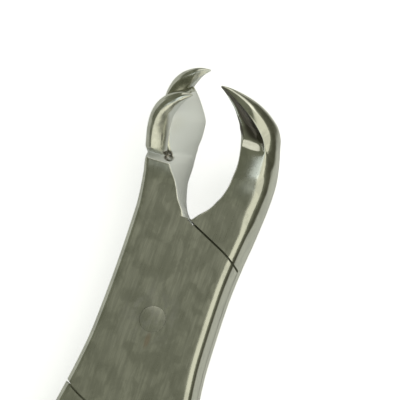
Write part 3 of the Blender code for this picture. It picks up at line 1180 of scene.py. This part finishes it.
@dataclass
class BackHalf(Half):
    """The half with the pointed right beak, the rear layer and the left handle."""

    shank_end: tuple[float, float] = (31.4 * MM, 32.0 * MM)
    flute_from: tuple[float, float] = (32.6 * MM, 33.4 * MM)
    wall_across: tuple[float, float] = (-0.04, 0.2)
    wall_up: tuple[float, float] = (0.05, 0.2)

    def beak_sections(self) -> list[Section]:
        """The pointed beak's sections."""
        return PointedBeak(self.joint, self.line).sections()

    def regions(self, place: Vector, normal: Vector) -> Regions:
        """Which finish a place has, with painted shade on the wall of the claw's flute that faces left and
        up.

        Args:
            place: The place on the flat half, before its beak is bent.
            normal: The surface's direction there.

        Returns:
            The share of each finish.
        """
        base = super().regions(place, normal)
        # Painted shade: beyond the flute's start, its wall facing left and up is painted near-black.
        beyond = smooth_step(*self.flute_from, place.y)
        wall = smooth_step(*self.wall_across, -normal.x) * smooth_step(*self.wall_up, normal.z)
        shank = 1 - smooth_step(*self.shank_end, place.y)
        return replace(base, painted_shade=beyond * wall, ground=base.ground * shank)


# Finishes


@dataclass
class NodeBoard:
    """A material's node tree, filled in from left to right."""

    material: Material
    column: int = 0

    @property
    def tree(self) -> bpy.types.NodeTree:
        """The node tree."""
        return self.material.node_tree

    def add(
        self, kind: str, inputs: dict[str | int, object] | None = None, **settings: object
    ) -> bpy.types.Node:
        """Adds a node.

        Args:
            kind: Its type.
            inputs: What its sockets take: a value, or another node's socket.
            settings: Its own settings.

        Returns:
            The node.
        """
        node = self.tree.nodes.new(kind)
        node.location = (self.column * 190, -((self.column * 7) % 5) * 160)
        self.column += 1
        for name, value in settings.items():
            setattr(node, name, value)
        for name, value in (inputs or {}).items():
            if isinstance(value, Socket):
                self.tree.links.new(value, node.inputs[name])
            else:
                node.inputs[name].default_value = value
        return node

    def math(self, operation: str, first: object, second: object, clamp: bool = False) -> Socket:
        """A Math node's result, kept from 0 to 1 if wanted."""
        node = self.add("ShaderNodeMath", {0: first, 1: second}, operation=operation, use_clamp=clamp)
        return node.outputs[0]

    def times(self, *factors: object) -> Socket:
        """The factors multiplied together, from left to right."""
        return reduce(lambda first, second: self.math("MULTIPLY", first, second), factors)

    def span(
        self, value: object, low: float, high: float, to_low: float = 0.0, to_high: float = 1.0
    ) -> Socket:
        """A value moved from one span to another, smoothly and clamped.

        Args:
            value: The input.
            low: The span's start.
            high: The span's end.
            to_low: The result at the start.
            to_high: The result at the end.

        Returns:
            The output.
        """
        inputs = {"Value": value, "From Min": low, "From Max": high, "To Min": to_low, "To Max": to_high}
        return self.add("ShaderNodeMapRange", inputs, interpolation_type="SMOOTHSTEP").outputs[0]

    def mix(self, share: object, first: object, second: object) -> Socket:
        """Two colours mixed, the second by a share."""
        return self.add("ShaderNodeMix", {0: share, 6: first, 7: second}, data_type="RGBA").outputs[2]

    def vector(self, operation: str, first: object, second: object, output: str = "Vector") -> Socket:
        """A Vector Math node's result, from the output that is named."""
        return self.add("ShaderNodeVectorMath", {0: first, 1: second}, operation=operation).outputs[output]

    def noise(
        self,
        place: Socket,
        stretch: tuple[float, float, float],
        detail: float,
        rough: float = 0.55,
        warp: float = 0.0,
    ) -> Socket:
        """Noise stretched over a place in millimetres.

        Args:
            place: The place.
            stretch: Lumps per millimetre along each axis.
            detail: How many finer layers it has.
            rough: How strong they are.
            warp: How much it is bent.

        Returns:
            The noise, from 0 to 1.
        """
        laid = self.vector("MULTIPLY", place, stretch)
        inputs = {"Vector": laid, "Scale": 1.0, "Detail": detail, "Roughness": rough, "Distortion": warp}
        return self.add("ShaderNodeTexNoise", inputs, noise_dimensions="3D").outputs[0]


def new_material(name: str) -> tuple[Material, NodeBoard]:
    """Starts a material.

    Args:
        name: Its name.

    Returns:
        The empty material and its node board.
    """
    material = bpy.data.materials.new(name)
    material.use_nodes = True
    material.node_tree.nodes.clear()
    return material, NodeBoard(material)


@dataclass(frozen=True)
class Marks:
    """The patterns that a steel finish, with its painted light and shade, is mixed from."""

    place: Socket
    ground: Socket
    flank: Socket
    # Painted shade share.
    painted_shade: Socket
    grip: Socket
    broad: Socket
    fine: Socket
    streaks: Socket
    smudge: Socket
    rubbed: Socket


@dataclass(frozen=True)
class SteelFinish:
    """Stainless steel: flats ground along their length, edges and beaks polished."""

    name: str
    tint: tuple[float, float, float] = (0.63, 0.63, 0.56)
    worn_tint: tuple[float, float, float] = (0.50, 0.50, 0.45)
    rubbed_tint: tuple[float, float, float] = (0.41, 0.41, 0.39)
    bright_tint: tuple[float, float, float] = (0.80, 0.80, 0.75)
    # Painted light: a near-white tint that lightens the flank and paints a highlight on the lip.
    flank_painted_light_tint: tuple[float, float, float] = (0.86, 0.875, 0.90)
    # Painted shade: near-black for the flute's wall, the pockets and the grip's grooves.
    painted_shade_tint: tuple[float, float, float] = (0.10, 0.085, 0.075)
    stain_tint: tuple[float, float, float] = (0.46, 0.34, 0.25)
    worn_share: float = 0.9
    cloud_share: float = 0.7
    rubbed_share: float = 0.55
    bright_share: float = 0.35
    stain_share: float = 0.55
    # Painted shade: how strongly the flute's wall and the pockets are painted near-black.
    painted_shade_share: float = 0.9
    # Painted shade: how dark the bottoms of the grip's grooves are painted.
    groove_shade_share: float = 0.6
    rubbed_centre: tuple[float, float, float] = (-0.6, 0.8, 0)
    stain_centre: tuple[float, float, float] = (0.36, -1.5, 0)
    stain_squeeze: tuple[float, float, float] = (1.2, 0.45, 0)
    ground_roughness: float = 0.30
    polished_roughness: float = 0.16
    flank_roughness: float = 0.62
    flank_haze: float = 0.45
    polished_streaks: float = 0.15
    rubbed_roughness: float = 0.08
    streak_depth: float = 1.3e-6
    wave_depth: float = 7.0e-6

    def material(self) -> Material:
        """The finish as a material."""
        material, board = new_material(self.name)
        marks = self.marks(board)
        shader = board.add(
            "ShaderNodeBsdfPrincipled",
            {
                "Base Color": self.colour(board, marks),
                "Metallic": board.math("SUBTRACT", 1.0, board.times(marks.flank, self.flank_haze)),
                "Roughness": self.roughness(board, marks),
                "Normal": self.relief(board, marks),
            },
        )
        board.add("ShaderNodeOutputMaterial", {"Surface": shader.outputs[0]})
        return material

    def marks(self, board: NodeBoard) -> Marks:
        """The patterns, in millimetres on the flat forceps.

        Args:
            board: The node board.

        Returns:
            The patterns and the finishes' shares.
        """
        flat = board.add("ShaderNodeAttribute", attribute_name="flat_place").outputs["Vector"]
        place = board.add("ShaderNodeVectorMath", {0: flat, "Scale": 1 / MM}, operation="SCALE").outputs[0]
        shares = {
            name: board.add("ShaderNodeAttribute", attribute_name=name).outputs["Fac"]
            for name in region_names()
        }
        broad = board.noise(place, (2.4, 0.14, 2.4), 5.0, 0.62)
        fine = board.noise(place, (13.0, 0.35, 13.0), 3.0, 0.6)
        smudge = board.noise(place, (0.42, 0.30, 0.42), 5.0, 0.6, 0.5)
        streaks = board.math("ADD", board.times(broad, 0.6), board.times(fine, 0.4))
        level = board.vector("MULTIPLY", place, (1, 1, 0))
        away = board.vector("DISTANCE", level, self.rubbed_centre, "Value")
        cloud = board.span(board.noise(place, (0.9, 0.5, 0.9), 4.0, 0.6, 0.3), 0.42, 0.62)
        rubbed = board.times(board.span(away, 6.5, 2.0), cloud)
        return Marks(place, **shares, broad=broad, fine=fine, streaks=streaks, smudge=smudge, rubbed=rubbed)

    def colour(self, board: NodeBoard, marks: Marks) -> Socket:
        """The steel's colour, with streaks, rubbing and a stain below the pin, painted light on the flank
        and lip, and painted shade on the flute's wall, in the pockets and in the grip's grooves.

        Args:
            board: The node board.
            marks: The patterns.

        Returns:
            The colour.
        """
        bright = board.span(board.noise(marks.place, (2.6, 0.9, 2.6), 4.0, 0.7, 0.4), 0.60, 0.72)
        level = board.vector("MULTIPLY", marks.place, self.stain_squeeze)
        away = board.vector("DISTANCE", level, self.stain_centre, "Value")
        worn = board.span(marks.streaks, 0.62, 0.40)
        cloudy = board.span(marks.smudge, 0.54, 0.42)
        layers = (
            (board.times(worn, marks.ground, self.worn_share), self.worn_tint),
            (board.times(cloudy, self.cloud_share), self.worn_tint),
            (board.times(marks.rubbed, self.rubbed_share), self.rubbed_tint),
            (board.times(bright, marks.ground, self.bright_share), self.bright_tint),
            (board.times(board.span(away, 0.75, 0.2), self.stain_share), self.stain_tint),
            # Painted light: the flank and the lip painted lighter, over their satin roughness.
            (marks.flank, self.flank_painted_light_tint),
            # Painted shade: the flute's wall and the pockets painted near-black.
            (board.times(marks.painted_shade, self.painted_shade_share), self.painted_shade_tint),
            # Painted shade: the bottoms of the grip's grooves painted near-black.
            (board.times(marks.grip, self.groove_shade_share), self.painted_shade_tint),
        )
        colour = (*self.tint, 1)
        for share, tint in layers:
            colour = board.mix(share, colour, (*tint, 1))
        return colour

    def roughness(self, board: NodeBoard, marks: Marks) -> Socket:
        """How dull the steel is: ground flats, satin flank, polished elsewhere.

        Args:
            board: The node board.
            marks: The patterns.

        Returns:
            The roughness.
        """
        dull = board.times(marks.ground, self.ground_roughness - self.polished_roughness)
        satin = board.times(marks.flank, self.flank_roughness - self.polished_roughness)
        total = board.math("ADD", board.math("MAXIMUM", dull, satin), self.polished_roughness)
        total = board.math("ADD", total, board.span(marks.streaks, 0.3, 0.7, -0.02, 0.03))
        total = board.math("ADD", total, board.span(marks.smudge, 0.35, 0.65, -0.02, 0.05))
        return board.math("ADD", total, board.times(marks.rubbed, self.rubbed_roughness), clamp=True)

    def relief(self, board: NodeBoard, marks: Marks) -> Socket:
        """Fine relief: grinding streaks and hand-polished waves.

        Args:
            board: The node board.
            marks: The patterns.

        Returns:
            The direction that the surface is lit by.
        """
        brushed = board.math("MAXIMUM", marks.ground, marks.flank)
        strength = board.math("ADD", board.times(brushed, 1 - self.polished_streaks), self.polished_streaks)
        lines = board.times(board.math("ADD", marks.broad, marks.fine), strength)
        waves = board.noise(marks.place, (0.35, 0.22, 0.35), 2.0, 0.4)
        streaked = board.add("ShaderNodeBump", {"Distance": self.streak_depth, "Height": lines}).outputs[0]
        waved = {"Distance": self.wave_depth, "Height": waves, "Normal": streaked}
        return board.add("ShaderNodeBump", waved).outputs[0]


@dataclass(frozen=True)
class FloorFinish:
    """Pale studio paper, with painted shade on its right side that only the steel's reflections see."""

    name: str = "studio_paper"
    tint: tuple[float, float, float] = (0.90, 0.91, 0.94)
    shaded_tint: tuple[float, float, float] = (0.13, 0.13, 0.10)
    right_shade: tuple[float, float] = (0.014, 0.020)
    glow: float = 0.62
    grain: float = 0.3
    grain_tone: float = 0.97
    fineness: float = 60.0
    roughness: float = 0.9

    def material(self) -> Material:
        """The finish as a material.

        The camera sees the paper lit, with an even glow. Reflections see it darker on the right, as painted
        shade.

        Returns:
            The material.
        """
        material, board = new_material(self.name)
        place = board.add("ShaderNodeTexCoord").outputs["Object"]
        grain = board.noise(place, (self.fineness,) * 3, 3.0)
        shade = board.span(grain, 0.3, 0.7, 0.0, self.grain)
        dark = tuple(channel * self.grain_tone for channel in self.tint)
        paper = board.mix(shade, (*self.tint, 1), (*dark, 1))
        seen = board.add("ShaderNodeLightPath").outputs["Is Camera Ray"]
        across = board.add("ShaderNodeSeparateXYZ", {0: place}).outputs[0]
        # Painted shade: beyond the forceps on the right, reflections see dark paper where the floor is lit.
        shaded = board.mix(board.span(across, *self.right_shade), paper, (*self.shaded_tint, 1))
        colour = board.mix(seen, shaded, paper)
        glow = board.times(seen, self.glow)
        shader = board.add(
            "ShaderNodeBsdfPrincipled",
            {
                "Base Color": colour,
                "Roughness": self.roughness,
                "Emission Color": (1, 1, 1, 1),
                "Emission Strength": glow,
            },
        )
        board.add("ShaderNodeOutputMaterial", {"Surface": shader.outputs[0]})
        return material


# The studio


@dataclass(frozen=True)
class SoftBox:
    """A rectangular soft light, aimed at the middle of the joint."""

    name: str
    bearing: float
    elevation: float
    width: float
    height: float
    radiance: float
    tint: tuple[float, float, float] = (1.0, 1.0, 1.0)
    distance: float = 0.8

    def place(self) -> Piece:
        """Sets the light up. Its power follows from its size and radiance.

        Returns:
            The light.
        """
        lamp = bpy.data.lights.new(self.name, "AREA")
        lamp.shape = "RECTANGLE"
        lamp.size = self.width
        lamp.size_y = self.height
        lamp.color = self.tint
        lamp.energy = self.radiance * math.pi * self.width * self.height
        light = bpy.data.objects.new(self.name, lamp)
        bpy.context.scene.collection.objects.link(light)
        bearing, elevation = math.radians(self.bearing), math.radians(self.elevation)
        level = math.cos(elevation)
        away = Vector((math.cos(bearing) * level, math.sin(bearing) * level, math.sin(elevation)))
        turn = (-away).to_track_quat("-Z", "Y").to_matrix().to_4x4()
        light.matrix_world = Matrix.Translation(away * self.distance) @ turn
        light.visible_camera = False
        return light


@dataclass(frozen=True)
class Viewpoint:
    """Where the camera stands: seen from the front, a little from the right and below."""

    azimuth: float = math.radians(12.5)
    elevation: float = math.radians(-10)
    roll: float = math.radians(19.3)
    target: tuple[float, float, float] = (0.00084072, 0.01936889, 0.009)
    distance: float = 0.45318
    lens: float = 271.35

    def place(self) -> Piece:
        """Makes the camera and gives it to the scene.

        Returns:
            The camera.
        """
        lens = bpy.data.cameras.new("camera")
        lens.sensor_width = 36.0
        lens.sensor_fit = "HORIZONTAL"
        lens.lens = self.lens
        lens.clip_start = 0.01
        camera = bpy.data.objects.new("camera", lens)
        bpy.context.scene.collection.objects.link(camera)
        level = math.cos(self.elevation)
        back = Vector(
            (math.sin(self.azimuth) * level, math.sin(self.elevation), math.cos(self.azimuth) * level)
        )
        across = Vector((math.cos(self.azimuth), 0, -math.sin(self.azimuth)))
        upright = back.cross(across)
        right = across * math.cos(self.roll) + upright * math.sin(self.roll)
        up = upright * math.cos(self.roll) - across * math.sin(self.roll)
        matrix = Matrix((right, up, back)).transposed().to_4x4()
        matrix.translation = Vector(self.target) + back * self.distance
        camera.matrix_world = matrix
        bpy.context.scene.camera = camera
        return camera


@dataclass(frozen=True)
class Studio:
    """A pale floor, soft lights round it and a dim ceiling."""

    floor_radius: float = 4.0
    ceiling: tuple[float, float, float] = (0.19, 0.20, 0.145)
    boxes: tuple[SoftBox, ...] = (
        SoftBox("right_box", -8, 44, 1.68, 0.85, 0.80, (1.0, 0.99, 0.86)),
        SoftBox("far_box", 92, 41, 1.10, 0.64, 0.90, (1.0, 0.99, 0.92)),
        SoftBox("left_box", 180, 8, 0.60, 0.28, 0.42, (0.97, 0.99, 1.0)),
        SoftBox("low_box", -64, 8, 0.85, 0.26, 1.0, (1.0, 0.99, 0.86)),
        SoftBox("cool_box", -82, 40, 0.34, 0.60, 1.0, (0.86, 0.95, 1.0)),
    )

    def build(self) -> Piece:
        """Sets up floor, lights and surroundings.

        Returns:
            The floor.
        """
        bm = bmesh.new()
        bmesh.ops.create_circle(bm, cap_ends=True, segments=96, radius=self.floor_radius)
        floor = new_object("floor", bm)
        floor.data.materials.append(FloorFinish().material())
        for box in self.boxes:
            box.place()
        world = bpy.data.worlds.new("studio")
        bpy.context.scene.world = world
        world.use_nodes = True
        background = world.node_tree.nodes["Background"]
        background.inputs["Color"].default_value = (*self.ceiling, 1)
        bpy.context.scene.view_settings.view_transform = "Standard"
        return floor


@dataclass
class Forceps:
    """The whole instrument."""

    joint: LapJoint = LapJoint()
    line: BeakLine = BeakLine()

    def build(self) -> list[Piece]:
        """Builds both halves and the pin, dresses them and sets them on their bodies.

        Returns:
            The pieces.
        """
        pin = PivotPin(self.joint)
        handle = Handle(self.joint)
        bend = BeakBend(self.joint.middle)
        parts = (self.joint, pin, self.line, handle, bend)
        halves = (
            FrontHalf("front_half_forged", "front_half", "front_half_steel", Side.LEFT, Layer.FRONT, *parts),
            BackHalf("back_half_forged", "back_half", "back_half_steel", Side.RIGHT, Layer.REAR, *parts),
        )
        pieces = []
        for half in halves:
            piece = half.build()
            piece.data.materials.append(SteelFinish(half.slot).material())
            self.settle_on(piece, half.node, half.node)
            pieces.append(piece)
        rivet = pin.build()
        rivet.data.materials.append(SteelFinish("pivot_pin_steel").material())
        self.settle_on(rivet, "pivot_pin", "back_half")
        return [*pieces, rivet]

    def settle_on(self, piece: Piece, node: str, body: str) -> None:
        """Puts a piece in place of a CAD node.

        Args:
            piece: The piece.
            node: The node that it stands for.
            body: The body that it moves with.
        """
        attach(piece, body)
        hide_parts(node)
        LOG.info("%s: %d faces, rides on %s", piece.name, len(piece.data.polygons), body)


def main() -> None:
    """Builds the forceps and the studio."""
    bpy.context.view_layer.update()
    Forceps().build()
    Studio().build()
    Viewpoint().place()


if __name__ == "__main__":
    main()
